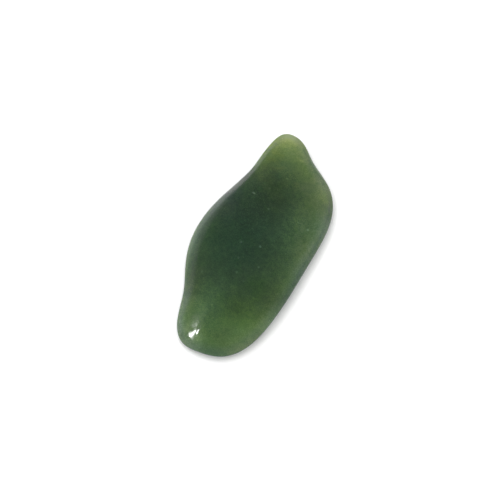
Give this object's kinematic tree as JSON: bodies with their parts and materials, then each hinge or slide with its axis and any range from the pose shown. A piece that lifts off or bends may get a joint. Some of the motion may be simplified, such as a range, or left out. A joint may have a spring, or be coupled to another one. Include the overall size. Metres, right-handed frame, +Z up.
{
  "type": "polished jade pebble",
  "caption": "Polished free-form pebble of green nephrite jade: domed top with soft ground faces, steep flank on one side, narrow thin tip, broad foot and flat base to lie on.",
  "frame": {"origin": "middle of the stone's box in plan, on the flat base", "axes": "+Y along the stone from the broad foot to the narrow tip, +Z up out of the domed top, the steep flank on the -X side"},
  "size_m": [0.0186, 0.0387, 0.0048],
  "materials": {
    "jade": "polished"
  },
  "bodies": {
    "root": {"jade_pebble": "jade"}
  },
  "joints": []
}
